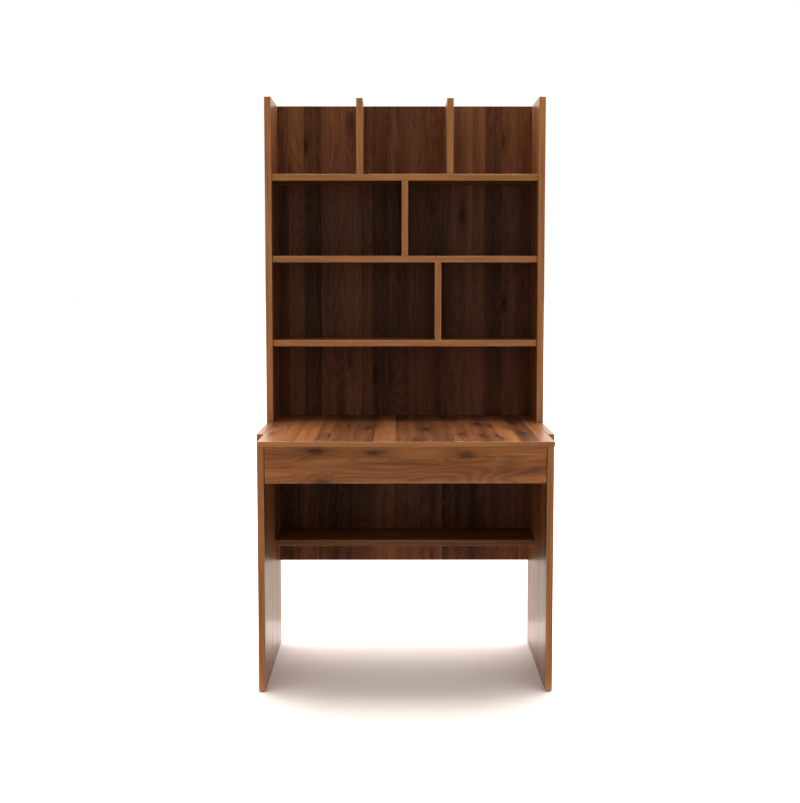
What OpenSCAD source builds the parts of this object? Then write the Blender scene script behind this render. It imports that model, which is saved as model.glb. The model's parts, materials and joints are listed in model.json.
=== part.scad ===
// Writing desk with a drawer and an open bookcase hutch standing on it.
// Millimetres, +Z up, the front faces -Y, the origin is on the floor under the middle of the whole.

/* [Overall] */
// Width over the two side boards
width = 860; // [700:10:1200]
// Height over the hutch
height = 1763; // [1700:1:1900]
// Height of the desktop's upper face
desk_h = 762; // [740:1:780]
// Depth of the desk's side boards
desk_d = 480; // [430:5:520]
// How far the desktop reaches in front of the side boards
overhang = 162; // [60:1:180]
// Depth of the hutch's side boards
hutch_d = 214; // [205:1:260]

/* [Boards] */
// Thickness of the sides, shelves and dividers
board_t = 20; // [18:0.5:25]
// Thickness of the desktop
top_t = 14; // [13:0.5:18]
// Thickness of the back panels
back_t = 12; // [11:0.5:14]
// How far the back panels stand in from the side boards' rear edges
back_recess = 3; // [2.5:0.5:6]
// How far the shelves stand back from the hutch sides' front edges
shelf_setback = 26; // [0:1:40]
// Upper face of the shelf under the desktop
low_shelf_z = 387; // [330:1:450]
// Lower edge of the desk's back panel
low_panel_z = 280; // [220:1:310]

/* [Bays] */
// Clear height between the desktop and the lowest hutch shelf
bottom_bay_h = 237; // [200:1:250]
// Clear height of the bay above it, with the lower divider
third_bay_h = 241; // [210:1:250]
// Distance of the two upper dividers from the middle
upper_divider_x = 140; // [90:1:180]
// Distance of the lower divider from the middle, to the right
lower_divider_x = 103; // [60:1:180]

/* [Drawer] */
// Lower edge of the drawer front
drawer_z = 617; // [600:1:620]
// Thickness of the drawer front
front_t = 18; // [16:0.5:20]
// Gap at each end of the drawer front
front_gap = 2; // [1.5:0.5:4]
// Gap over the drawer front
front_top_gap = 3; // [2:0.5:6]
// Bevel along the front's lower edge
front_bevel = 6; // [2:0.5:8]
// Height of the drawer's sides
box_h = 90; // [85:1:92]
// Thickness of the drawer's sides and back
box_t = 12; // [11:0.5:14]
// Thickness of the drawer's bottom
bottom_t = 5; // [4:0.5:6]
// Depth of the groove that holds the drawer's bottom
groove_d = 6; // [4:0.5:7]

/* [Slides] */
// Length of the drawer slides
slide_l = 400; // [380:5:405]
// Height of the outer slide member
slide_h = 45; // [45:1:46]
// Space taken by a slide beside the drawer
slide_w = 13; // [12.8:0.1:13.4]
// Diameter of the balls
ball_d = 3.3; // [3.1:0.05:3.3]
// Length of a ball cage
cage_l = 200; // [150:10:210]

/* [Hidden] */

$fn = 32;
walnut = "saddlebrown";
birch = "burlywood";
beech = "wheat";
zinc = "silver";
brown = "sienna";
play = 0.05;        // clearance round a dowel, screw or cam in its hole
end_play = 0.5;     // extra depth of a dowel or screw hole

// Planes across the depth, from front to back
y_top = -(desk_d + overhang) / 2;
y_side = y_top + overhang;
y_rear = y_side + desk_d;
y_hutch = y_rear - hutch_d;
y_shelf = y_hutch + shelf_setback;
y_back_rear = y_rear - back_recess;
y_back = y_back_rear - back_t;

// Widths and heights
half_in = width / 2 - board_t;
side_mid = half_in + board_t / 2;
glide_h = 3;
glide_r = 8.5;
upper_bay_h = (height - desk_h - bottom_bay_h - third_bay_h - 3 * board_t) / 2;
bay_h = [third_bay_h, upper_bay_h, upper_bay_h];        // over each shelf, upwards
lowest_z = desk_h + bottom_bay_h;
middle_z = lowest_z + board_t + third_bay_h;
shelf_z = [lowest_z, middle_z, middle_z + board_t + upper_bay_h];   // undersides, upwards
low_z = low_shelf_z - board_t;
top_z = desk_h - top_t;

// Dowels: [radius, depth in the first board, depth in the second]
dowel_8 = [4, 12, 18];
dowel_6 = [3, 8, 17];
edge_dowel = [3, 12, 18];
stand_dowel = [4, 20, 20];
drawer_dowel = [3, 11, 14];

// Screws: [shank radius, head radius, head height, length]
shelf_screw = [1.75, 3.5, 2, 35];
divider_screw = [2.5, 4.5, 3, 50];
plate_screw = [1.75, 3.4, 1.8, 11];
bracket_screw = [1.75, 3.4, 1.8, 16];
case_screw = [1.75, 2.9, 1.2, 16];
runner_screw = [1.75, 2.9, 1.2, 11.5];
corner_screw = [1.75, 3.5, 2, 35];
bottom_screw = [1.5, 2.8, 1.5, 16];

// Cam fittings: [cam radius, cam height, bolt to cam centre, bolt radius, head radius, thread length]
shelf_cam = [7.4, 13, 24, 2.3, 3, 10];
top_cam = [5.9, 10.5, 20, 1.7, 2.4, 9];
box_cam = [4.9, 9, 16, 1.5, 2.1, 9];
cap_t = 0.8;
cap_over = 1.4;

// Places of the fittings along the depth
shelf_cam_y = [y_shelf + 34, y_back - 34];
shelf_dowel_y = [y_shelf + 66, y_back - 66];
divider_dowel_y = [y_shelf + 30, y_back - 30];
divider_screw_y = (y_shelf + y_back) / 2;
top_cam_y = [y_side + 30, (y_side + y_rear) / 2 - 15, y_rear - 72];
top_dowel_y = [y_side + 70, y_hutch + 10, y_rear - 50];
stand_dowel_y = [y_hutch + 30, y_hutch + 110, y_hutch + 190];
glide_y = [y_side + 20, y_rear - 20];
y_panel = (y_back + y_back_rear) / 2;

// Places of the fittings along the width and height
shelf_screw_x = [-300, 0, 300];
bracket_z = shelf_z[2] + board_t;
hutch_edge_z = [desk_h + 100, desk_h + 560, height - 100];
desk_edge_z = [low_panel_z + 60, top_z - 60];
up_dowel_x = [-180, 180];
down_dowel_x = [-330, 330];
divider_screw_dz = [-60, 60];
plate_x = [-250, 0, 250];
plate_size = [24, 2, 90];
plate_screw_dz = [-36, -20, 20, 36];
bracket_x = [-200, 200];
bracket_foot = 30;
bracket_rise = 15;
bracket_t = 2;
bracket_w = 30;
bracket_screw_dx = [-9, 9];
wall_hole_r = 3;
wall_hole_up = 8;

// The drawer
box_half = half_in - slide_w;
box_in = box_half - box_t;
y_box = y_side + front_t;
box_l = slide_l - 4;
box_z = drawer_z + 16;
bottom_z = box_z + 6;
front_h = top_z - front_top_gap - drawer_z;
box_cam_z = [box_z + 30, box_z + 74];
box_dowel_z = box_z + 52;
corner_screw_z = [box_z + 20, box_z + 76];
back_lift = bottom_z + bottom_t;
back_drop = 6;
groove_play = 0.2;

// The slides: p runs from the side board's face to the drawer, z from the slide's middle
slide_z = box_z + 42;
y_slide = y_box + 2;
wall = 1.2;
thin = 1;
cage_t = 0.7;
leg_t = 0.8;
outer_half = slide_h / 2;
ball_gap = 3.5;
middle_half = outer_half - wall - ball_gap;
inner_half = middle_half - thin - ball_gap;
outer_ball_z = middle_half + ball_gap / 2;
inner_ball_z = inner_half + ball_gap / 2;
outer_ball_p = 6;
inner_ball_p = 7.7;
outer_open = 11;
lip = 2.4;
outer_cage_p = [1.9, 9];
middle_p = [3.2, 11.2];
inner_cage_p = [4.6, 9.6];
inner_open = 6;
bumper_l = 4;
member_l = slide_l - bumper_l - 1;
y_cage = y_slide + (slide_l - cage_l) / 2;
ball_pitch = 25;
slide_screw_dy = [35, slide_l / 2, slide_l - 35];

// ---------------------------------------------------------------- helpers

// A board from its lowest corner and its highest corner
module board(low, high) {
    translate(low) cube(high - low);
}

// The children on the left and their mirror image on the right
module both_sides() {
    children();
    mirror([1, 0, 0]) children();
}

// The children at each height and depth on the left side board's inner face
module on_side(ys, zs) {
    for (y = ys, z = zs) translate([-half_in, y, z]) children();
}

// A flat outline drawn in X and Z, extruded along Y
module along_y(y0, y1) {
    translate([0, y1, 0]) rotate([90, 0, 0]) linear_extrude(y1 - y0) children();
}

// A dowel on +Z: the first board is below z = 0, the second above
module dowel(d, chamfer = 1) {
    rotate_extrude() polygon([
        [0, -d[1]], [d[0] - chamfer, -d[1]], [d[0], chamfer - d[1]],
        [d[0], d[2] - chamfer], [d[0] - chamfer, d[2]], [0, d[2]]
    ]);
}

// The hole for a dowel in both boards
module dowel_hole(d) {
    translate([0, 0, -d[1] - end_play]) cylinder(r = d[0] + play, h = d[1] + d[2] + 2 * end_play);
}

// A countersunk screw going down from z = 0, with a cross recess
module screw(s) {
    recess_w = 0.3 * s[1];
    difference() {
        rotate_extrude() polygon([
            [0, 0], [s[1], 0], [s[0], -s[2]], [s[0], s[0] - s[3]], [0, -s[3]]
        ]);
        for (turn = [0, 90]) rotate(turn)
            translate([-0.6 * s[1], -recess_w / 2, -0.6 * s[2]]) cube([1.2 * s[1], recess_w, s[2]]);
    }
}

// The countersunk hole for a screw
module screw_hole(s) {
    rotate_extrude() polygon([
        [0, play], [s[1] + play, play], [s[1] + play, 0], [s[0] + play, -s[2]],
        [s[0] + play, -s[3] - end_play], [0, -s[3] - end_play]
    ]);
}

// A cam bolt on +X: its thread is in the board below x = 0
module cam_bolt(c) {
    collar = 1.2;
    neck = c[2] - 1.5;
    rotate([0, 90, 0]) rotate_extrude() polygon([
        [0, -c[5]], [c[3], 1 - c[5]], [c[3], 0], [c[4] + 0.4, 0], [c[4] + 0.4, collar],
        [c[3], collar], [c[3], neck - 3], [c[3] - 0.6, neck - 2.4], [c[3] - 0.6, neck],
        [c[4], neck + 0.4], [c[4], c[2] + 0.6], [c[4] - 0.6, c[2] + 1.2], [0, c[2] + 1.2]
    ]);
}

// The threaded hole that a cam bolt has in its board
module cam_bolt_hole(c) {
    rotate([0, 90, 0]) translate([0, 0, -c[5] - end_play])
        cylinder(r = c[3] + play, h = c[5] + end_play + 1);
}

// A cam lock: its face is `axis_h` under the bolt's axis
module cam_lock(c, axis_h) {
    pocket = c[4] + 0.3;
    translate([c[2], 0, -axis_h]) difference() {
        cylinder(r = c[0], h = c[1]);
        translate([-c[0] - 1, -pocket, axis_h - pocket]) cube([c[0] + 3.5, 2 * pocket, 2 * pocket]);
        for (turn = [0, 90]) rotate(turn) translate([-0.6 * c[0], -0.7, -1]) cube([1.2 * c[0], 1.4, 3]);
    }
}

// What a cam fitting takes out of the board it pulls in
module cam_cut(c, axis_h) {
    rotate([0, 90, 0]) translate([0, 0, -1]) cylinder(r = c[4] + 0.8, h = c[2] + 1);
    translate([c[2], 0, -axis_h - 1]) cylinder(r = c[0] + play, h = c[1] + 1 + end_play);
}

// A channel's outline: web at p0, open at p1, half height, wall thickness, height of its lips
module channel(p0, p1, half, t, lips = 0) {
    into = sign(p1 - p0);
    translate([min(p0, p0 + into * t), -half]) square([t, 2 * half]);
    for (s = [-1, 1]) {
        translate([min(p0, p1), s > 0 ? half - t : -half]) square([abs(p1 - p0), t]);
        if (lips > 0)
            translate([min(p1, p1 - into * t), s > 0 ? half - lips : -half]) square([t, lips]);
    }
}

// A slide member on the left side board
module member(y0, length) {
    translate([-half_in, 0, slide_z]) along_y(y0, y0 + length) children();
}

// ---------------------------------------------------------------- what the fittings cut away

// Cam bolt and dowel holes in both side boards for shelves at these mid heights
module shelf_holes_in_sides(zs) {
    both_sides() {
        on_side(shelf_cam_y, zs) cam_bolt_hole(shelf_cam);
        on_side(shelf_dowel_y, zs) rotate([0, 90, 0]) dowel_hole(dowel_8);
    }
}

// Cam and dowel holes in a shelf with this underside, and the screw holes in its rear edge
module shelf_holes(z) {
    both_sides() {
        on_side(shelf_cam_y, [z + board_t / 2]) cam_cut(shelf_cam, board_t / 2);
        on_side(shelf_dowel_y, [z + board_t / 2]) rotate([0, 90, 0]) dowel_hole(dowel_8);
    }
    rear_screws(shelf_screw_x, [z + board_t / 2]) screw_hole(shelf_screw);
}

// The children where screws enter the rear of a back panel
module rear_screws(xs, zs) {
    for (x = xs, z = zs) translate([x, y_back_rear, z]) rotate([-90, 0, 0]) children();
}

// The children where dowels stand between a divider and the shelf under it
module foot_dowels(x, z) {
    for (y = divider_dowel_y) translate([x, y, z]) children();
}

// The children where dowels stand between a divider and the shelf over it
module head_dowels(x, z) {
    for (y = divider_dowel_y) translate([x, y, z]) mirror([0, 0, 1]) children();
}

// The children at the screw that comes up through a shelf into its divider
module divider_screw_place(x, z) {
    translate([x, divider_screw_y, z]) mirror([0, 0, 1]) children();
}

// The children where dowels pin a back panel's ends to the side boards
module panel_edges(zs) {
    both_sides() on_side([y_panel], zs) rotate([0, 90, 0]) children();
}

// The children at the joining plates' screws
module plate_screw_places() {
    for (x = plate_x, dz = plate_screw_dz)
        translate([x, y_back_rear + plate_size[1], top_z + top_t / 2 + dz]) rotate([-90, 0, 0]) children();
}

// The holes through a wall bracket and the panel behind it
module wall_holes() {
    for (x = bracket_x)
        translate([x, y_back_rear + 1, bracket_z + wall_hole_up]) rotate([90, 0, 0])
            cylinder(r = wall_hole_r, h = back_t + bracket_t + 2);
}

// The children at the screws that hold the wall brackets down to the top shelf
module bracket_screw_places() {
    for (x = bracket_x, dx = bracket_screw_dx)
        translate([x + dx, y_back - 20, bracket_z + bracket_t]) children();
}

// The children where dowels join the desktop to the back panels: up, then down
module top_dowels_up() {
    for (x = up_dowel_x) translate([x, y_panel, desk_h]) children();
}
module top_dowels_down() {
    for (x = down_dowel_x) translate([x, y_panel, top_z]) mirror([0, 0, 1]) children();
}

// The children where dowels stand between a desk side and a hutch side
module stand_dowels() {
    both_sides() for (y = stand_dowel_y) translate([-side_mid, y, desk_h]) children();
}

// The children at the left slide's screw places, at distance p from the side board
module slide_screw_places(p) {
    for (dy = slide_screw_dy) translate([-half_in + p, y_slide + dy, slide_z]) children();
}

// ---------------------------------------------------------------- desk

module desk_sides(left) {
    color(walnut) difference() {
        mirror([left ? 0 : 1, 0, 0])
            board([-width / 2, y_side, glide_h], [-half_in, y_rear, desk_h]);
        shelf_holes_in_sides([low_z + board_t / 2]);
        both_sides() {
            on_side(top_cam_y, [top_z + top_t / 2]) cam_bolt_hole(top_cam);
            on_side(top_dowel_y, [top_z + top_t / 2]) rotate([0, 90, 0]) dowel_hole(edge_dowel);
            slide_screw_places(wall) rotate([0, 90, 0]) screw_hole(case_screw);
            for (y = glide_y) translate([-side_mid, y, 0]) cylinder(r = 1.2 + play, h = 15 + end_play);
        }
        panel_edges(desk_edge_z) dowel_hole(edge_dowel);
        stand_dowels() dowel_hole(stand_dowel);
    }
}

module desk_side_left() desk_sides(true);
module desk_side_right() desk_sides(false);

module desktop() {
    color(walnut) difference() {
        board([-half_in, y_top, top_z], [half_in, y_back_rear, desk_h]);
        both_sides() {
            on_side(top_cam_y, [top_z + top_t / 2]) cam_cut(top_cam, top_t / 2);
            on_side(top_dowel_y, [top_z + top_t / 2]) rotate([0, 90, 0]) dowel_hole(edge_dowel);
        }
        top_dowels_up() dowel_hole(dowel_6);
        top_dowels_down() dowel_hole(dowel_6);
    }
}

module under_desk_shelf() {
    color(walnut) difference() {
        board([-half_in, y_shelf, low_z], [half_in, y_back, low_shelf_z]);
        shelf_holes(low_z);
    }
}

module desk_back_panel() {
    color(walnut) difference() {
        board([-half_in, y_back, low_panel_z], [half_in, y_back_rear, top_z]);
        panel_edges(desk_edge_z) dowel_hole(edge_dowel);
        rear_screws(shelf_screw_x, [low_z + board_t / 2]) screw_hole(shelf_screw);
        plate_screw_places() screw_hole(plate_screw);
        top_dowels_down() dowel_hole(dowel_6);
    }
}

// ---------------------------------------------------------------- hutch

module hutch_sides(left) {
    color(walnut) difference() {
        mirror([left ? 0 : 1, 0, 0])
            board([-width / 2, y_hutch, desk_h], [-half_in, y_rear, height]);
        shelf_holes_in_sides([for (z = shelf_z) z + board_t / 2]);
        panel_edges(hutch_edge_z) dowel_hole(edge_dowel);
        stand_dowels() dowel_hole(stand_dowel);
    }
}

module hutch_side_left() hutch_sides(true);
module hutch_side_right() hutch_sides(false);

module hutch_back_panel() {
    color(walnut) difference() {
        board([-half_in, y_back, desk_h], [half_in, y_back_rear, height]);
        panel_edges(hutch_edge_z) dowel_hole(edge_dowel);
        rear_screws(shelf_screw_x, [for (z = shelf_z) z + board_t / 2]) screw_hole(shelf_screw);
        all_divider_rear_screws() screw_hole(shelf_screw);
        plate_screw_places() screw_hole(plate_screw);
        top_dowels_up() dowel_hole(dowel_6);
        wall_holes();
    }
}

// A hutch shelf from its underside
module hutch_shelf(z) {
    difference() {
        board([-half_in, y_shelf, z], [half_in, y_back, z + board_t]);
        shelf_holes(z);
    }
}

module hutch_shelf_top() {
    color(walnut) difference() {
        hutch_shelf(shelf_z[2]);
        for (x = [-upper_divider_x, upper_divider_x]) {
            foot_dowels(x, shelf_z[2] + board_t) dowel_hole(dowel_8);
            divider_screw_place(x, shelf_z[2]) screw_hole(divider_screw);
        }
        head_dowels(0, shelf_z[2]) dowel_hole(dowel_8);
        bracket_screw_places() screw_hole(bracket_screw);
    }
}

module hutch_shelf_middle() {
    color(walnut) difference() {
        hutch_shelf(shelf_z[1]);
        foot_dowels(0, shelf_z[1] + board_t) dowel_hole(dowel_8);
        divider_screw_place(0, shelf_z[1]) screw_hole(divider_screw);
        head_dowels(lower_divider_x, shelf_z[1]) dowel_hole(dowel_8);
    }
}

module hutch_shelf_lower() {
    color(walnut) difference() {
        hutch_shelf(shelf_z[0]);
        foot_dowels(lower_divider_x, shelf_z[0] + board_t) dowel_hole(dowel_8);
        divider_screw_place(lower_divider_x, shelf_z[0]) screw_hole(divider_screw);
    }
}

// A divider at x on the shelf with this number
module divider(x, shelf) {
    z = shelf_z[shelf] + board_t;
    difference() {
        board([x - board_t / 2, y_shelf, z], [x + board_t / 2, y_back, z + bay_h[shelf]]);
        foot_dowels(x, z) dowel_hole(dowel_8);
        divider_screw_place(x, shelf_z[shelf]) screw_hole(divider_screw);
        divider_rear_screws(x, shelf) screw_hole(shelf_screw);
    }
}

// The children at the screws that come through the back panel into a divider
module divider_rear_screws(x, shelf) {
    rear_screws([x], [for (dz = divider_screw_dz) shelf_z[shelf] + board_t + bay_h[shelf] / 2 + dz])
        children();
}

// The children at all the dividers' rear screws
module all_divider_rear_screws() {
    for (x = [-upper_divider_x, upper_divider_x]) divider_rear_screws(x, 2) children();
    divider_rear_screws(0, 1) children();
    divider_rear_screws(lower_divider_x, 0) children();
}

module upper_divider_left() {
    color(walnut) divider(-upper_divider_x, 2);
}

module upper_divider_right() {
    color(walnut) divider(upper_divider_x, 2);
}

module middle_divider() {
    color(walnut) difference() {
        divider(0, 1);
        head_dowels(0, shelf_z[2]) dowel_hole(dowel_8);
    }
}

module lower_divider() {
    color(walnut) difference() {
        divider(lower_divider_x, 0);
        head_dowels(lower_divider_x, shelf_z[1]) dowel_hole(dowel_8);
    }
}

// ---------------------------------------------------------------- fittings of the desk and hutch

module floor_glides() {
    color(brown) both_sides() for (y = glide_y) translate([-side_mid, y, 0]) rotate_extrude() polygon([
        [0, 0], [glide_r - 1.5, 0], [glide_r, 1.5], [glide_r, glide_h], [1.2, glide_h],
        [1.2, 14], [0, 15]
    ]);
}

module board_dowels() {
    color(beech) {
        both_sides() on_side(shelf_dowel_y, [low_z + board_t / 2, for (z = shelf_z) z + board_t / 2])
            rotate([0, 90, 0]) dowel(dowel_8);
        stand_dowels() dowel(stand_dowel);
        for (x = [-upper_divider_x, upper_divider_x]) foot_dowels(x, shelf_z[2] + board_t) dowel(dowel_8);
        foot_dowels(0, shelf_z[1] + board_t) dowel(dowel_8);
        head_dowels(0, shelf_z[2]) dowel(dowel_8);
        foot_dowels(lower_divider_x, shelf_z[0] + board_t) dowel(dowel_8);
        head_dowels(lower_divider_x, shelf_z[1]) dowel(dowel_8);
    }
}

module panel_dowels() {
    color(beech) {
        both_sides() on_side(top_dowel_y, [top_z + top_t / 2]) rotate([0, 90, 0]) dowel(edge_dowel);
        panel_edges([for (z = desk_edge_z) z, for (z = hutch_edge_z) z]) dowel(edge_dowel);
        top_dowels_up() dowel(dowel_6);
        top_dowels_down() dowel(dowel_6);
    }
}

// The children at every shelf's cam fittings
module shelf_cams() {
    both_sides() on_side(shelf_cam_y, [low_z + board_t / 2, for (z = shelf_z) z + board_t / 2]) children();
}

// The children at the desktop's cam fittings
module top_cams() {
    both_sides() on_side(top_cam_y, [top_z + top_t / 2]) children();
}

module cam_bolts() {
    color(zinc) shelf_cams() cam_bolt(shelf_cam);
}

module cam_locks() {
    color(zinc) shelf_cams() cam_lock(shelf_cam, board_t / 2);
}

// A cap over a cam lock whose face is `axis_h` under the bolt's axis
module cam_cap(c, axis_h) {
    cap_r = c[0] + cap_over;
    translate([c[2], 0, -axis_h - cap_t])
        rotate_extrude() polygon([[0, 0], [cap_r - cap_t, 0], [cap_r, cap_t], [0, cap_t]]);
}

module cam_caps() {
    color(brown) {
        shelf_cams() cam_cap(shelf_cam, board_t / 2);
        top_cams() cam_cap(top_cam, top_t / 2);
    }
}

module desktop_cam_bolts() {
    color(zinc) top_cams() cam_bolt(top_cam);
}

module desktop_cam_locks() {
    color(zinc) top_cams() cam_lock(top_cam, top_t / 2);
}

module divider_screws() {
    color(zinc) {
        for (x = [-upper_divider_x, upper_divider_x])
            divider_screw_place(x, shelf_z[2]) screw(divider_screw);
        divider_screw_place(0, shelf_z[1]) screw(divider_screw);
        divider_screw_place(lower_divider_x, shelf_z[0]) screw(divider_screw);
    }
}

module back_panel_screws() {
    color(zinc) {
        rear_screws(shelf_screw_x, [low_z + board_t / 2, for (z = shelf_z) z + board_t / 2])
            screw(shelf_screw);
        all_divider_rear_screws() screw(shelf_screw);
    }
}

module joining_plates() {
    color(zinc) for (x = plate_x) difference() {
        board([x - plate_size[0] / 2, y_back_rear, top_z + (top_t - plate_size[2]) / 2],
              [x + plate_size[0] / 2, y_back_rear + plate_size[1], top_z + (top_t + plate_size[2]) / 2]);
        plate_screw_places() screw_hole(plate_screw);
    }
}

module plate_screws() {
    color(zinc) plate_screw_places() screw(plate_screw);
}

module wall_brackets() {
    color(brown) for (x = bracket_x) difference() {
        translate([x - bracket_w / 2, 0, 0]) rotate([90, 0, 90]) linear_extrude(bracket_w)
            polygon([
                [y_back, bracket_z], [y_back - bracket_foot, bracket_z],
                [y_back - bracket_foot, bracket_z + bracket_t], [y_back - bracket_t, bracket_z + bracket_t],
                [y_back - bracket_t, bracket_z + bracket_rise], [y_back, bracket_z + bracket_rise]
            ]);
        wall_holes();
        bracket_screw_places() screw_hole(bracket_screw);
    }
}

module bracket_screws() {
    color(zinc) bracket_screw_places() screw(bracket_screw);
}

// ---------------------------------------------------------------- slides

module slide_outer() {
    color(zinc) difference() {
        member(y_slide, slide_l) channel(0, outer_open, outer_half, wall, lip);
        slide_screw_places(wall) rotate([0, 90, 0]) screw_hole(case_screw);
    }
}

module slide_middle() {
    color(zinc) member(y_slide, member_l) channel(middle_p[0], middle_p[1], middle_half, thin);
}

module slide_inner() {
    color(zinc) difference() {
        member(y_slide, member_l) channel(slide_w, inner_open, inner_half, wall);
        slide_screw_places(slide_w - wall) rotate([0, -90, 0]) screw_hole(runner_screw);
    }
}

// The children at each ball of a cage
module ball_places(p, z) {
    count = floor((cage_l - ball_pitch) / ball_pitch);
    first = (cage_l - (count - 1) * ball_pitch) / 2;
    for (i = [0 : count - 1], s = [-1, 1])
        translate([-half_in + p, y_cage + first + i * ball_pitch, slide_z + s * z]) children();
}

// A cage: a thin channel whose legs are pierced for the balls
module cage(p, ball_p, ball_z) {
    color(zinc) difference() {
        member(y_cage, cage_l) {
            translate([p[0], -ball_z]) square([cage_t, 2 * ball_z]);
            for (s = [-1, 1]) translate([p[0], s * ball_z - leg_t / 2]) square([p[1] - p[0], leg_t]);
        }
        ball_places(ball_p, ball_z) cylinder(r = ball_d / 2 + 0.2, h = 2 * leg_t, center = true);
    }
}

module balls(p, z) {
    color(zinc) ball_places(p, z) sphere(d = ball_d);
}

module slide_outer_left() slide_outer();
module slide_outer_right() mirror([1, 0, 0]) slide_outer();
module slide_middle_left() slide_middle();
module slide_middle_right() mirror([1, 0, 0]) slide_middle();
module slide_inner_left() slide_inner();
module slide_inner_right() mirror([1, 0, 0]) slide_inner();
module outer_cage_left() cage(outer_cage_p, outer_ball_p, outer_ball_z);
module outer_cage_right() mirror([1, 0, 0]) outer_cage_left();
module inner_cage_left() cage(inner_cage_p, inner_ball_p, inner_ball_z);
module inner_cage_right() mirror([1, 0, 0]) inner_cage_left();
module outer_balls_left() balls(outer_ball_p, outer_ball_z);
module outer_balls_right() mirror([1, 0, 0]) outer_balls_left();
module inner_balls_left() balls(inner_ball_p, inner_ball_z);
module inner_balls_right() mirror([1, 0, 0]) inner_balls_left();

module slide_bumpers() {
    half = 6;
    color("dimgray") both_sides() member(y_slide + slide_l - bumper_l, bumper_l)
        translate([wall, -half]) square([outer_open - wall, 2 * half]);
}

module slide_case_screws() {
    color(zinc) both_sides() slide_screw_places(wall) rotate([0, 90, 0]) screw(case_screw);
}

module slide_drawer_screws() {
    color(zinc) both_sides() slide_screw_places(slide_w - wall) rotate([0, -90, 0]) screw(runner_screw);
}

// ---------------------------------------------------------------- drawer

// The children at the drawer's front corners: +X points back along the side
module front_corners(zs) {
    both_sides() for (z = zs) translate([-box_half + box_t / 2, y_box, z]) rotate(90) children();
}

// The children at the screws through the drawer's sides into its back
module back_corners() {
    both_sides() for (z = corner_screw_z)
        translate([-box_half, y_box + box_l - box_t / 2, z]) rotate([0, -90, 0]) children();
}

// The children at the screws through the drawer's bottom into its back
module bottom_screw_places() {
    for (x = shelf_screw_x) translate([x, y_box + box_l - box_t / 2, bottom_z]) mirror([0, 0, 1]) children();
}

module drawer_front() {
    half = half_in - front_gap;
    color(walnut) difference() {
        translate([-half, 0, 0]) rotate([90, 0, 90]) linear_extrude(2 * half) polygon([
            [y_side, drawer_z + front_bevel], [y_side + front_bevel, drawer_z], [y_box, drawer_z],
            [y_box, drawer_z + front_h], [y_side, drawer_z + front_h]
        ]);
        board([-box_in - groove_d, y_box - groove_d, bottom_z],
              [box_in + groove_d, y_box + 1, bottom_z + bottom_t + groove_play]);
        front_corners(box_cam_z) cam_bolt_hole(box_cam);
        front_corners([box_dowel_z]) rotate([0, 90, 0]) dowel_hole(drawer_dowel);
    }
}

module drawer_side() {
    color(birch) difference() {
        board([-box_half, y_box, box_z], [-box_in, y_box + box_l, box_z + box_h]);
        board([-box_in - groove_d, y_box - 1, bottom_z],
              [-box_in + 1, y_box + box_l + 1, bottom_z + bottom_t + groove_play]);
        front_corners(box_cam_z) rotate([-90, 0, 0]) cam_cut(box_cam, box_t / 2);
        front_corners([box_dowel_z]) rotate([0, 90, 0]) dowel_hole(drawer_dowel);
        back_corners() screw_hole(corner_screw);
        slide_screw_places(slide_w - wall) rotate([0, -90, 0]) screw_hole(runner_screw);
    }
}

module drawer_side_left() drawer_side();
module drawer_side_right() mirror([1, 0, 0]) drawer_side();

module drawer_back() {
    color(birch) difference() {
        board([-box_in, y_box + box_l - box_t, back_lift],
              [box_in, y_box + box_l, box_z + box_h - back_drop]);
        back_corners() screw_hole(corner_screw);
        bottom_screw_places() screw_hole(bottom_screw);
    }
}

module drawer_bottom() {
    half = box_in + groove_d - groove_play;
    color(birch) difference() {
        board([-half, y_box - groove_d + groove_play, bottom_z],
              [half, y_box + box_l, bottom_z + bottom_t]);
        bottom_screw_places() screw_hole(bottom_screw);
    }
}

module drawer_dowels() {
    color(beech) front_corners([box_dowel_z]) rotate([0, 90, 0]) dowel(drawer_dowel);
}

module drawer_cam_bolts() {
    color(zinc) front_corners(box_cam_z) cam_bolt(box_cam);
}

module drawer_cam_locks() {
    color(zinc) front_corners(box_cam_z) rotate([-90, 0, 0]) cam_lock(box_cam, box_t / 2);
}

module drawer_back_screws() {
    color(zinc) back_corners() screw(corner_screw);
}

module drawer_bottom_screws() {
    color(zinc) bottom_screw_places() screw(bottom_screw);
}

// ---------------------------------------------------------------- drawing

desk_side_left();
desk_side_right();
desktop();
under_desk_shelf();
desk_back_panel();
hutch_side_left();
hutch_side_right();
hutch_back_panel();
hutch_shelf_top();
hutch_shelf_middle();
hutch_shelf_lower();
upper_divider_left();
upper_divider_right();
middle_divider();
lower_divider();
floor_glides();
board_dowels();
panel_dowels();
cam_bolts();
cam_locks();
cam_caps();
desktop_cam_bolts();
desktop_cam_locks();
divider_screws();
back_panel_screws();
joining_plates();
plate_screws();
wall_brackets();
bracket_screws();
slide_outer_left();
slide_outer_right();
slide_bumpers();
slide_case_screws();
slide_middle_left();
slide_middle_right();
outer_cage_left();
outer_cage_right();
outer_balls_left();
outer_balls_right();
inner_cage_left();
inner_cage_right();
inner_balls_left();
inner_balls_right();
slide_inner_left();
slide_inner_right();
slide_drawer_screws();
drawer_front();
drawer_side_left();
drawer_side_right();
drawer_back();
drawer_bottom();
drawer_dowels();
drawer_cam_bolts();
drawer_cam_locks();
drawer_back_screws();
drawer_bottom_screws();
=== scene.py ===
import json
import math
import random

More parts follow.
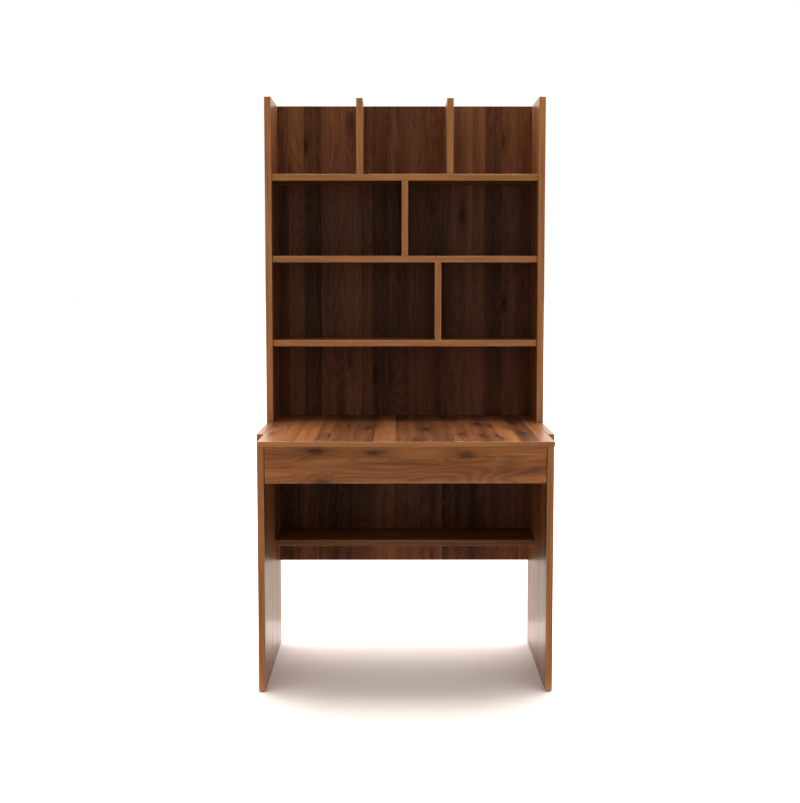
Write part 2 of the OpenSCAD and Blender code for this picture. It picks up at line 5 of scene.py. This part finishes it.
import bmesh
import bpy
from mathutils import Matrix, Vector


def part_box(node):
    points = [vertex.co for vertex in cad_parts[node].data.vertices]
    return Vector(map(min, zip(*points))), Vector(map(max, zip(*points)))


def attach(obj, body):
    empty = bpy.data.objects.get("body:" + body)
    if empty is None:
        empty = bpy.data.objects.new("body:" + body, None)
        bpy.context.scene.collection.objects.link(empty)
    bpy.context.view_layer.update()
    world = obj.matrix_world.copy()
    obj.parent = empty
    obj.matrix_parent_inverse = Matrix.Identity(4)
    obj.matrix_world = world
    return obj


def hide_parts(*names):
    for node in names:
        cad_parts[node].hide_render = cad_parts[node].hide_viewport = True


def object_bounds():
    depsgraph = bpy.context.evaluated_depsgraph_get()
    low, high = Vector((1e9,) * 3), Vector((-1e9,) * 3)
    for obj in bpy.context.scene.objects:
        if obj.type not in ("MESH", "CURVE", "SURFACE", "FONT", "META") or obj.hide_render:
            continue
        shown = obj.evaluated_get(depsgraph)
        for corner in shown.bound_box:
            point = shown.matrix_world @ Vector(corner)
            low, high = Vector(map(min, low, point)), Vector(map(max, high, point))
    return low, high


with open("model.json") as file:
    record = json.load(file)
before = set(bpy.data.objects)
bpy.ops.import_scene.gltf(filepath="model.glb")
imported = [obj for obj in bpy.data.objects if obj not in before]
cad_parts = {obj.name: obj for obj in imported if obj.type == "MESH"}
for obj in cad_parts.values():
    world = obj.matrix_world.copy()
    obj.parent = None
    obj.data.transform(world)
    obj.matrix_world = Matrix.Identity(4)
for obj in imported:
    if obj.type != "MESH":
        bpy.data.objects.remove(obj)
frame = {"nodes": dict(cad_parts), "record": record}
cad_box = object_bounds()
dice = random.Random(12)                # shifts each board's place in the grain

X, Y, Z = 0, 1, 2
ARRIS = 0.0012                          # radius of the boards' rounded edges, in metres
WELD = 1e-6                             # corners closer than this are one corner
FLAT = 0.99                             # the largest part of a flat face's normal is above this
SHARP = math.radians(35)                # edges above this angle stay sharp
GRAIN_SHIFT = 20.0                      # metres of grain that the boards are cut from
KNOT_ALONG, KNOT_ACROSS = 0.26, 0.085   # one place for a knot in each such cell, in metres
FLOOR_REACH = 60.0                      # half the floor's width and depth
NEAR_FLOOR = (-0.2, 0.55)               # front and rear ends of the floor that the boards reflect
WHITE = (1.0, 1.0, 1.0)


# ------------------------------------------------------------------ node helpers

class Shade:
    """Short calls that build one node tree."""

    def __init__(self, tree):
        self.tree = tree
        tree.nodes.clear()

    def add(self, kind, inputs=None, **props):
        node = self.tree.nodes.new("ShaderNode" + kind)
        for name, value in props.items():
            setattr(node, name, value)
        for key, value in (inputs or {}).items():
            if isinstance(value, bpy.types.NodeSocket):
                self.tree.links.new(value, node.inputs[key])
            else:
                node.inputs[key].default_value = value
        return node

    def math(self, how, a, b):
        return self.add("Math", {0: a, 1: b}, operation=how).outputs[0]

    def scaled(self, value, amount):
        return self.math("MULTIPLY", value, amount)

    def parts(self, vector):
        """The three numbers of a vector or colour."""
        return self.add("SeparateXYZ", {0: vector}).outputs

    def steps(self, value, start, end, low_to=0.0, high_to=1.0):
        """A smooth change of value between start and end."""
        return self.add("MapRange", {0: value, 1: start, 2: end, 3: low_to, 4: high_to},
                        interpolation_type="SMOOTHSTEP").outputs[0]

    def stretch(self, vector, scale):
        return self.add("VectorMath", {0: vector, 1: scale}, operation="MULTIPLY").outputs[0]

    def noise(self, vector, scale, detail=2.0, rough=0.5, warp=0.0):
        """Noise with about `scale` features per metre."""
        return self.add("TexNoise", {"Vector": vector, "Scale": scale, "Detail": detail,
                                     "Roughness": rough, "Distortion": warp}).outputs[0]

    def ramp(self, value, stops):
        node = self.add("ValToRGB", {0: value})
        bar = node.color_ramp.elements
        while len(bar) < len(stops):
            bar.new(1.0)
        for stop, (place, colour) in zip(bar, stops):
            stop.position = place
            stop.color = (*colour, 1.0)
        return node.outputs[0]

    def mix(self, how_much, a, b, how="MIX"):
        if isinstance(a, tuple):
            a = (*a, 1.0)
        if isinstance(b, tuple):
            b = (*b, 1.0)
        return self.add("Mix", {0: how_much, 6: a, 7: b}, data_type="RGBA", blend_type=how).outputs[2]

    def finish(self, colour, rough, height=None, depth=0.0003, strength=0.3, **sockets):
        """The Principled shader and the material's output."""
        inputs = {"Base Color": colour if isinstance(colour, bpy.types.NodeSocket) else (*colour, 1.0),
                  "Roughness": rough}
        for name, value in sockets.items():
            inputs[name.replace("_", " ")] = value
        if height is not None:
            inputs["Normal"] = self.add("Bump", {"Strength": strength, "Distance": depth,
                                                 "Height": height}).outputs[0]
        shader = self.add("BsdfPrincipled", inputs)
        self.add("OutputMaterial", {0: shader.outputs[0]})


def material(name):
    made = bpy.data.materials.new(name)
    made.use_nodes = True
    return made, Shade(made.node_tree)


# ------------------------------------------------------------------ wood

def board_wood(name, palette, band, stave, streaks, knot_dark, shine):
    """Boards glued up from staves. The mesh holds where each corner lies along, across and through
    the board ("wood"), the board's tone, knots and banded edges ("board") and its arrises ("arris")."""
    made, s = material(name)
    wood = s.add("Attribute", attribute_name="wood").outputs["Vector"]
    across = s.parts(wood)[1]
    tone, knotty, banded = s.parts(s.add("Attribute", attribute_name="board").outputs["Vector"])
    arris = s.add("Attribute", attribute_name="arris").outputs["Fac"]

    # staves of uneven width, each with its own tone and its own place in the grain
    cell = s.add("TexVoronoi", {"W": across, "Scale": 1 / stave, "Randomness": 0.8},
                 voronoi_dimensions="1D").outputs["Color"]
    tint = s.parts(cell)[0]
    grain = s.add("VectorMath", {0: wood, 1: s.stretch(cell, (9.0, 3.0, 2.0))}).outputs[0]

    # knots: small and drawn out along the grain, on the faces only
    place = s.stretch(grain, (1 / KNOT_ALONG, 1 / KNOT_ACROSS, 0.0))
    spot = s.add("TexVoronoi", {"Vector": place, "Scale": 1.0, "Randomness": 0.9},
                 voronoi_dimensions="2D").outputs
    chosen = s.math("LESS_THAN", s.parts(spot["Color"])[0], knotty)
    chosen = s.scaled(chosen, s.math("SUBTRACT", 1.0, banded))
    wobble = s.math("SUBTRACT", s.noise(grain, 60.0), 0.5)
    reach = s.math("ADD", spot["Distance"], s.scaled(wobble, 0.14))
    core = s.scaled(s.steps(reach, 0.17, 0.0), chosen)
    round_knot = s.scaled(s.steps(reach, 0.45, 0.0), chosen)

    # growth rings are contours of a stretched noise, and bend round the knots
    field = s.noise(s.stretch(grain, (0.15, 1.0, 1.0)), 8.0, 2.0, 0.45, 0.3)
    phase = s.math("ADD", s.scaled(field, 190.0), s.scaled(round_knot, 14.0))
    rings = s.math("SINE", phase, 0.0)

    # streaks, fibres and pores, from coarse to fine
    wide = s.noise(s.stretch(grain, (0.035, 1.0, 1.0)), 26.0, 2.0, 0.5, 0.2)
    streak = s.noise(s.stretch(grain, (0.03, 1.0, 1.0)), 120.0, 2.0, 0.55)
    fibre = s.noise(s.stretch(grain, (0.025, 1.0, 1.0)), 700.0, 2.0, 0.6)
    pore = s.steps(s.noise(s.stretch(grain, (0.07, 1.0, 1.0)), 1500.0, 1.0), 0.62, 0.72)

    value = tone
    for part, middle, amount in ((tint, 0.5, streaks * 0.9), (rings, 0.0, streaks * 0.17),
                                 (wide, 0.5, streaks * 1.8), (streak, 0.5, streaks * 0.9),
                                 (fibre, 0.5, streaks * 0.35), (round_knot, 0.0, -0.12),
                                 (core, 0.0, -knot_dark), (pore, 0.0, -0.035)):
        value = s.math("ADD", value, s.scaled(s.math("SUBTRACT", part, middle), amount))
    face = s.ramp(value, palette)
    edge = s.ramp(s.math("ADD", s.scaled(streak, 0.6), s.scaled(fibre, 0.4)), band)
    colour = s.mix(banded, face, edge)

    # painted highlight: the rounded arrises are made lighter and whiter in patches, as if they caught
    # the light
    arris_highlight = s.scaled(arris, s.steps(s.noise(wood, 35.0, 3.0), 0.35, 0.7, 0.25, 0.8))
    colour = s.mix(arris_highlight, colour, s.mix(1.0, colour, (1.5, 1.6, 1.7), "MULTIPLY"))

    rough = s.math("ADD", shine, s.scaled(s.noise(wood, 9.0, 3.0), 0.10))
    rough = s.math("ADD", rough, s.scaled(pore, 0.12))
    height = s.math("SUBTRACT", s.scaled(fibre, 0.5), s.scaled(pore, 0.6))
    s.finish(colour, rough, height, 0.00005, 0.2, IOR=1.5)
    return made


WOODS = {"walnut_board": board_wood("walnut", [
    (0.0, (0.022, 0.008, 0.0035)), (0.25, (0.075, 0.026, 0.009)), (0.5, (0.20, 0.070, 0.023)),
    (0.75, (0.35, 0.134, 0.045)), (1.0, (0.52, 0.24, 0.092))],
    [(0.3, (0.165, 0.062, 0.020)), (0.7, (0.33, 0.139, 0.048))],
    stave=0.058, streaks=0.31, knot_dark=0.22, shine=0.26),
    "drawer_wood": board_wood("birch", [
    (0.0, (0.25, 0.15, 0.07)), (0.5, (0.62, 0.44, 0.25)), (1.0, (0.80, 0.64, 0.42))],
    [(0.3, (0.56, 0.39, 0.21)), (0.7, (0.70, 0.52, 0.31))],
    stave=0.075, streaks=0.12, knot_dark=0.3, shine=0.34)}


# Boards: (CAD node, body, material slot, axis along the grain, axis across it, tone, knots)
BOARDS = [
    ("desk_side_left", "carcass", "walnut_board", Z, Y, 0.52, 0.25),
    ("desk_side_right", "carcass", "walnut_board", Z, Y, 0.50, 0.25),
    ("desktop", "carcass", "walnut_board", Y, X, 0.48, 0.60),
    ("under_desk_shelf", "carcass", "walnut_board", X, Y, 0.50, 0.20),
    # painted shade: the desk's back panel gets a lower tone, darkening the recess under the desktop
    ("desk_back_panel", "carcass", "walnut_board", Z, X, 0.44, 0.10),
    ("hutch_side_left", "carcass", "walnut_board", Z, Y, 0.52, 0.20),
    ("hutch_side_right", "carcass", "walnut_board", Z, Y, 0.50, 0.20),
    ("hutch_back_panel", "carcass", "walnut_board", Z, X, 0.48, 0.30),
    ("hutch_shelf_top", "carcass", "walnut_board", X, Y, 0.50, 0.20),
    ("hutch_shelf_middle", "carcass", "walnut_board", X, Y, 0.50, 0.20),
    ("hutch_shelf_lower", "carcass", "walnut_board", X, Y, 0.50, 0.20),
    ("upper_divider_left", "carcass", "walnut_board", Z, Y, 0.50, 0.15),
    ("upper_divider_right", "carcass", "walnut_board", Z, Y, 0.52, 0.15),
    ("middle_divider", "carcass", "walnut_board", Z, Y, 0.50, 0.15),
    ("lower_divider", "carcass", "walnut_board", Z, Y, 0.50, 0.15),
    ("drawer_front", "drawer", "walnut_board", X, Z, 0.47, 0.60),
    ("drawer_side_left", "drawer", "drawer_wood", Y, Z, 0.5, 0.1),
    ("drawer_side_right", "drawer", "drawer_wood", Y, Z, 0.5, 0.1),
    ("drawer_back", "drawer", "drawer_wood", X, Z, 0.5, 0.1),
    ("drawer_bottom", "drawer", "drawer_wood", Y, X, 0.55, 0.1),
]


def closed_copy(node):
    """The CAD node's mesh with its split corners joined, as an object of its own."""
    bm = bmesh.new()
    bm.from_mesh(frame["nodes"][node].data)
    bmesh.ops.remove_doubles(bm, verts=bm.verts, dist=WELD)
    mesh = bpy.data.meshes.new(node + "_cut")
    bm.to_mesh(mesh)
    bm.free()
    made = bpy.data.objects.new(node + "_cut", mesh)
    bpy.context.scene.collection.objects.link(made)
    return made


def rounded_box(lo, hi, radius):
    """A box whose edges and corners are rounded."""
    bm = bmesh.new()
    bmesh.ops.create_cube(bm, size=1.0)
    for v in bm.verts:
        v.co = Vector([lo[i] if v.co[i] < 0 else hi[i] for i in range(3)])
    bmesh.ops.bevel(bm, geom=bm.edges[:] + bm.verts[:], offset=radius, offset_type="OFFSET",
                    segments=3, profile=0.5, affect="EDGES")
    mesh = bpy.data.meshes.new("box")
    bm.to_mesh(mesh)
    bm.free()
    return mesh


def make_board(node, body, slot, grain, cross, tone, knots):
    """A board with rounded arrises and the CAD board's own holes, grooves and bevels."""
    lo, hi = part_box(node)
    cutter = closed_copy(node)
    board = bpy.data.objects.new("board_" + node, rounded_box(lo, hi, ARRIS))
    bpy.context.scene.collection.objects.link(board)
    keep = board.modifiers.new("keep", "BOOLEAN")
    keep.operation, keep.solver, keep.object = "INTERSECT", "EXACT", cutter
    bpy.context.view_layer.update()
    graph = bpy.context.evaluated_depsgraph_get()
    solid = bpy.data.meshes.new_from_object(board.evaluated_get(graph))
    board.modifiers.clear()
    board.data = solid
    bpy.data.objects.remove(cutter)

    flat = 3 - grain - cross
    shift = Vector([dice.uniform(0, GRAIN_SHIFT) for _ in range(3)])
    corners = len(solid.loops)
    place, about, arris = [0.0] * (3 * corners), [0.0] * (3 * corners), [0.0] * corners
    for poly in solid.polygons:
        n = [abs(c) for c in poly.normal]
        facing = n.index(max(n))
        u, v, w = (cross, flat, grain) if facing == grain else (grain, cross, flat)
        rounded = max(n) < FLAT and poly.area < 4 * ARRIS * (hi - lo).length
        for i in poly.loop_indices:
            co = solid.vertices[solid.loops[i].vertex_index].co
            place[3 * i:3 * i + 3] = (co[u] + shift[0], co[v] + shift[1], co[w] + shift[2])
            about[3 * i:3 * i + 3] = (tone, knots, float(facing != flat))
            arris[i] = float(rounded)
    for name, kind, values, how in (("wood", "FLOAT_VECTOR", place, "vector"),
                                    ("board", "FLOAT_VECTOR", about, "vector"),
                                    ("arris", "FLOAT", arris, "value")):
        solid.attributes.new(name, kind, "CORNER").data.foreach_set(how, values)
    solid.materials.clear()
    solid.materials.append(WOODS[slot])
    solid.shade_smooth()
    solid.set_sharp_from_angle(angle=SHARP)
    board.modifiers.new("normals", "WEIGHTED_NORMAL").keep_sharp = True
    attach(board, body)
    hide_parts(node)
    return board


boards = {row[0]: make_board(*row) for row in BOARDS}


# ------------------------------------------------------------------ fittings

def dowel_wood():
    made, s = material("dowel_wood")
    at = s.add("TexCoord").outputs["Object"]
    fleck = s.noise(s.stretch(at, (0.2, 1.0, 0.2)), 900.0)
    value = s.math("ADD", s.scaled(fleck, 0.6), s.scaled(s.noise(at, 60.0), 0.4))
    tone = s.ramp(value, [(0.3, (0.56, 0.38, 0.20)), (0.7, (0.74, 0.56, 0.34))])
    s.finish(tone, 0.62, fleck, 0.0001, 0.3)
    return made


def metal(name, dark, light, rough, spread, grain, depth, stretch=(1.0, 1.0, 1.0)):
    """Plated, cast or polished metal: cloudy tone, uneven gloss and a fine surface."""
    made, s = material(name)
    at = s.add("TexCoord").outputs["Object"]
    cloud = s.noise(at, 45.0, 3.0)
    fine = s.noise(s.stretch(at, stretch), grain, 3.0, 0.6)
    value = s.math("ADD", s.scaled(cloud, 0.6), s.scaled(fine, 0.4))
    tone = s.ramp(value, [(0.3, dark), (0.7, light)])
    gloss = s.math("ADD", rough, s.scaled(s.math("ADD", cloud, fine), spread))
    s.finish(tone, gloss, fine, depth, 0.25, Metallic=1.0)
    return made


def moulded(name, dark, light, rough, grain, depth):
    """Moulded plastic, rubber or powder coat: a fine pebbled skin."""
    made, s = material(name)
    at = s.add("TexCoord").outputs["Object"]
    pebble = s.noise(at, grain)
    cloud = s.noise(at, 25.0, 3.0)
    tone = s.ramp(cloud, [(0.3, dark), (0.7, light)])
    s.finish(tone, s.math("ADD", rough, s.scaled(pebble, 0.12)), pebble, depth, 0.4)
    return made


FINISHES = {
    "dowel_wood": dowel_wood(),
    "zinc_steel": metal("zinc_steel", (0.54, 0.55, 0.56), (0.70, 0.71, 0.71),
                        rough=0.20, spread=0.10, grain=400.0, depth=0.00004, stretch=(1.0, 0.05, 1.0)),
    "cam_zinc": metal("cam_zinc", (0.40, 0.41, 0.43), (0.55, 0.56, 0.57),
                      rough=0.36, spread=0.12, grain=1500.0, depth=0.00008),
    "ball_steel": metal("ball_steel", (0.72, 0.72, 0.74), (0.80, 0.80, 0.82),
                        rough=0.04, spread=0.05, grain=900.0, depth=0.00001),
    "bracket_paint": moulded("bracket_paint", (0.075, 0.038, 0.022), (0.115, 0.062, 0.038),
                             rough=0.42, grain=1200.0, depth=0.00008),
    "brown_plastic": moulded("brown_plastic", (0.13, 0.062, 0.032), (0.20, 0.10, 0.055),
                             rough=0.45, grain=1600.0, depth=0.00005),
    "black_rubber": moulded("black_rubber", (0.018, 0.018, 0.018), (0.035, 0.035, 0.035),
                            rough=0.62, grain=1400.0, depth=0.00006),
}
for part in frame["record"]["subparts"]:
    if part["material_slot"] in FINISHES:
        for held in frame["nodes"][part["node"]].material_slots:
            held.material = FINISHES[part["material_slot"]]


# ------------------------------------------------------------------ floor, light and camera

def pale_floor():
    """One level floor in three pieces: the boards reflect only the near one and take no light from the
    front one."""
    made, s = material("pale_floor")
    s.finish((0.94, 0.85, 0.79), 0.9)
    near, far = NEAR_FLOOR
    pieces = []
    for name, front, rear in (("floor_front", -FLOOR_REACH, near), ("floor_near", near, far),
                              ("floor_rear", far, FLOOR_REACH)):
        mesh = bpy.data.meshes.new(name)
        mesh.from_pydata([(-FLOOR_REACH, front, 0), (FLOOR_REACH, front, 0),
                          (FLOOR_REACH, rear, 0), (-FLOOR_REACH, rear, 0)], [], [(0, 1, 2, 3)])
        mesh.materials.append(made)
        piece = bpy.data.objects.new(name, mesh)
        bpy.context.scene.collection.objects.link(piece)
        piece.visible_glossy = name == "floor_near"
        piece.visible_diffuse = name != "floor_front"
        pieces.append(piece)
    return pieces


def studio_world():
    """A white backdrop behind and a bright ceiling, brighter towards the back. The room in front is dim,
    and dimmer still in reflections, which are warm. The camera sees plain white."""
    world = bpy.data.worlds.new("studio")
    world.use_nodes = True
    bpy.context.scene.world = world
    s = Shade(world.node_tree)
    _, back, up = s.parts(s.add("TexCoord").outputs["Generated"])
    behind = s.steps(back, -0.25, 0.45)
    above = s.steps(s.math("ADD", up, s.scaled(back, 0.35)), 0.35, 0.95)
    glow = s.math("ADD", s.scaled(behind, 1.15), s.scaled(above, 1.7))
    glow = s.scaled(glow, s.steps(up, -0.5, -0.3, 0.3, 1.0))
    path = s.add("LightPath").outputs
    mirrored = path["Is Glossy Ray"]
    front = s.add("MapRange", {0: mirrored, 3: 0.30, 4: 0.04}).outputs[0]
    tint = s.mix(mirrored, WHITE, (1.0, 0.86, 0.76))
    light = s.add("Background", {0: tint, 1: s.math("ADD", glow, front)})
    plain = s.add("Background", {0: (*WHITE, 1.0), 1: 1.0})
    both = s.add("MixShader", {0: path["Is Camera Ray"], 1: light.outputs[0], 2: plain.outputs[0]})
    s.add("OutputWorld", {0: both.outputs[0]})


def softbox(name, place, aim, size, watts, colour, linked, how, glossy=False):
    """An area light that leaves out the linked objects (EXCLUDE) or lights only those (INCLUDE)."""
    data = bpy.data.lights.new(name, "AREA")
    data.shape, data.size, data.size_y = "RECTANGLE", size[0], size[1]
    data.energy, data.color = watts, colour
    made = bpy.data.objects.new(name, data)
    made.location = place
    made.rotation_euler = (Vector(aim) - Vector(place)).to_track_quat("-Z", "Y").to_euler()
    bpy.context.scene.collection.objects.link(made)
    made.visible_glossy = glossy
    made.visible_camera = False
    group = bpy.data.collections.new(name + "_link")
    for index, piece in enumerate(linked):
        group.objects.link(piece)
        group.collection_objects[index].light_linking.link_state = how
    made.light_linking.receiver_collection = group


def front_camera():
    """Eye level in front of the desk, looking slightly down."""
    camera = bpy.data.objects.new("camera", bpy.data.cameras.new("camera"))
    away, aside, eye_level = 3.18, -0.026, 1.204        # from the desktop's front edge, middle and floor
    down, turn = math.radians(4.36), math.radians(-0.17)
    camera.location = (aside, cad_box[0].y - away, eye_level)
    camera.rotation_euler = (math.radians(90) - down, 0.0, turn)
    camera.data.lens = 52.3
    camera.data.shift_y = -0.04
    camera.data.clip_end = 300.0
    bpy.context.scene.collection.objects.link(camera)
    bpy.context.scene.camera = camera
    bpy.context.scene.view_settings.view_transform = "Standard"


floor = pale_floor()
studio_world()
under_desk = [boards["desk_back_panel"], boards["under_desk_shelf"]]
shaded = [boards["hutch_back_panel"], *under_desk]
softbox("overhead", place=(0.0, 0.8, 3.8), aim=(0.0, 0.0, 0.6), size=(3.0, 2.4), watts=145.0,
        colour=(1.0, 0.98, 0.95), linked=floor, how="EXCLUDE", glossy=True)
softbox("floor_light", place=(0.0, 0.1, 3.8), aim=(0.0, 0.0, 0.0), size=(2.4, 2.0), watts=160.0,
        colour=(1.0, 0.98, 0.95), linked=floor, how="INCLUDE")
softbox("bounce", place=(0.0, -0.2, 0.02), aim=(0.0, 0.2, 0.36), size=(0.8, 0.1), watts=0.9,
        colour=(1.0, 0.92, 0.85), linked=under_desk, how="INCLUDE")
softbox("fill", place=(0.0, -7.0, 0.8), aim=(0.0, 0.0, 1.0), size=(2.6, 2.0), watts=400.0,
        colour=(1.0, 0.97, 0.93), linked=floor + shaded, how="EXCLUDE")
front_camera()
